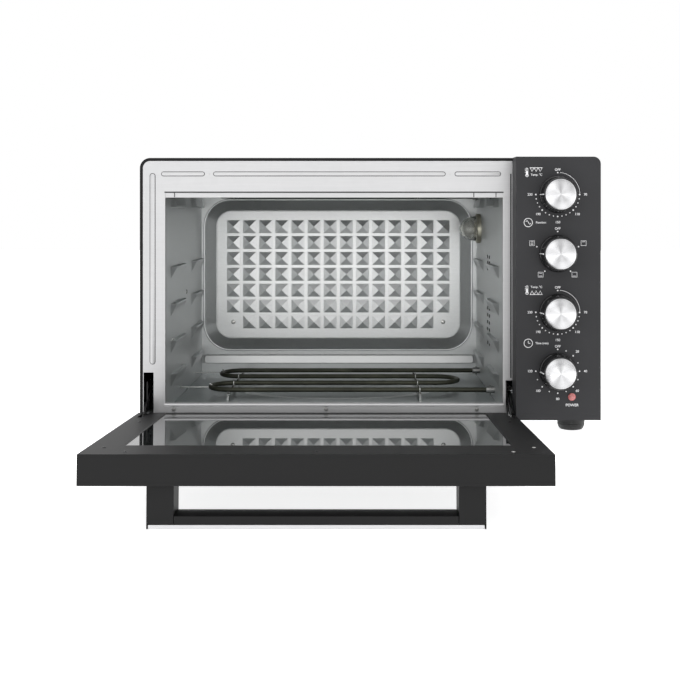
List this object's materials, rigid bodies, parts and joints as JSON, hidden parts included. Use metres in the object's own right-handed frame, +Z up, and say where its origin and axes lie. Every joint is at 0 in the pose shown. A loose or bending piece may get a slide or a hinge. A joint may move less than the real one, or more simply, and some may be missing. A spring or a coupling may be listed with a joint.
{
  "type": "toaster oven",
  "caption": "Countertop toaster oven with a drop-down glass door on linked hinges, pressed steel cavity, tube heaters and rotary controls in a side column.",
  "frame": {"origin": "middle of the base pan's underside, one foot height above the counter", "axes": "+X to the right seen from the front, +Y to the back, +Z up"},
  "size_m": [0.575, 0.7143, 0.3821],
  "materials": {
    "black_paint": "black powder coat, satin",
    "charcoal_paint": "charcoal, satin",
    "galvanised_sheet": "galvanised sheet, soft sheen",
    "bright_steel": "bright zinc plated sheet",
    "dark_steel": "plain zinc plated steel",
    "element_sheath": "oxidised olive black sheath",
    "clear_glass": "clear",
    "tinted_glass": "dark tempered glass",
    "switch_resin": "cream phenolic and ceramic",
    "red_lens": "pink red translucent",
    "black_rubber": "matte",
    "black_plastic": "semi gloss",
    "spun_aluminium": "spun, radial sheen"
  },
  "bodies": {
    "oven": {"outer_cover": "black_paint", "base_pan": "galvanised_sheet", "back_cover": "black_paint", "front_frame": "bright_steel", "lip_screw_1": "dark_steel", "lip_screw_2": "dark_steel", "lip_screw_3": "dark_steel", "cavity_left_wall": "galvanised_sheet", "cavity_right_wall": "galvanised_sheet", "cavity_floor": "galvanised_sheet", "cavity_roof": "galvanised_sheet", "cavity_back_wall": "galvanised_sheet", "back_wall_screw_1": "bright_steel", "back_wall_screw_2": "bright_steel", "lower_heating_element": "element_sheath", "lower_support_wire_left": "bright_steel", "lower_support_wire_right": "bright_steel", "upper_heating_element": "element_sheath", "upper_support_wire_left": "bright_steel", "upper_support_wire_right": "bright_steel", "lamp_holder": "switch_resin", "lamp_glass": "clear_glass", "control_panel": "charcoal_paint", "control_bracket": "galvanised_sheet", "upper_thermostat": "switch_resin", "function_switch": "switch_resin", "lower_thermostat": "switch_resin", "timer_unit": "switch_resin", "indicator_lens": "red_lens", "front_left_foot": "black_rubber", "front_right_foot": "black_rubber", "rear_left_foot": "black_rubber", "rear_right_foot": "black_rubber", "cable_gland": "black_rubber", "left_hinge_bracket": "dark_steel", "right_hinge_bracket": "dark_steel", "left_hinge_spring": "dark_steel", "right_hinge_spring": "dark_steel"},
    "door": {"door_frame": "charcoal_paint", "door_inner_glass": "tinted_glass", "door_outer_glass": "tinted_glass", "handle_post_left": "charcoal_paint", "handle_post_right": "charcoal_paint", "handle_bar": "charcoal_paint", "handle_trim": "spun_aluminium", "left_hinge_leaf": "dark_steel", "right_hinge_leaf": "dark_steel", "left_hinge_pin": "dark_steel", "right_hinge_pin": "dark_steel"},
    "left_link": {"left_hinge_link": "bright_steel"},
    "right_link": {"right_hinge_link": "bright_steel"},
    "upper_temperature_control": {"upper_temperature_knob": "black_plastic", "upper_temperature_knob_cap": "spun_aluminium"},
    "function_control": {"function_knob": "black_plastic", "function_knob_cap": "spun_aluminium"},
    "lower_temperature_control": {"lower_temperature_knob": "black_plastic", "lower_temperature_knob_cap": "spun_aluminium"},
    "timer_control": {"timer_knob": "black_plastic", "timer_knob_cap": "spun_aluminium"}
  },
  "joints": [
    {"name": "door_hinge", "type": "hinge", "parent": "oven", "child": "door", "pos_m": [0, -0.1935, -0.001], "axis": [-1, 0, 0], "range_deg": [0, 87.5]},
    {"name": "left_link_pivot", "type": "hinge", "parent": "door", "child": "left_link", "pos_m": [0, -0.22147, 0.00022], "axis": [1, 0, 0], "range_deg": [0, 60.5]},
    {"name": "right_link_pivot", "type": "hinge", "parent": "door", "child": "right_link", "pos_m": [0, -0.22147, 0.00022], "axis": [1, 0, 0], "range_deg": [0, 60.5]},
    {"name": "upper_temperature_turn", "type": "hinge", "parent": "oven", "child": "upper_temperature_control", "pos_m": [0.2343, -0.218, 0.2782], "axis": [0, 1, 0], "range_deg": [-270, 0]},
    {"name": "function_turn", "type": "hinge", "parent": "oven", "child": "function_control", "pos_m": [0.2343, -0.218, 0.2056], "axis": [0, 1, 0], "range_deg": [-288, 0]},
    {"name": "lower_temperature_turn", "type": "hinge", "parent": "oven", "child": "lower_temperature_control", "pos_m": [0.2343, -0.218, 0.133], "axis": [0, 1, 0], "range_deg": [-270, 0]},
    {"name": "timer_turn", "type": "hinge", "parent": "oven", "child": "timer_control", "pos_m": [0.2343, -0.218, 0.0604], "axis": [0, 1, 0], "range_deg": [-270, 0]}
  ],
  "couplings": [
    {"joint": "left_link_pivot", "follows": "door_hinge", "ratio": 0.69143},
    {"joint": "right_link_pivot", "follows": "door_hinge", "ratio": 0.69143}
  ]
}
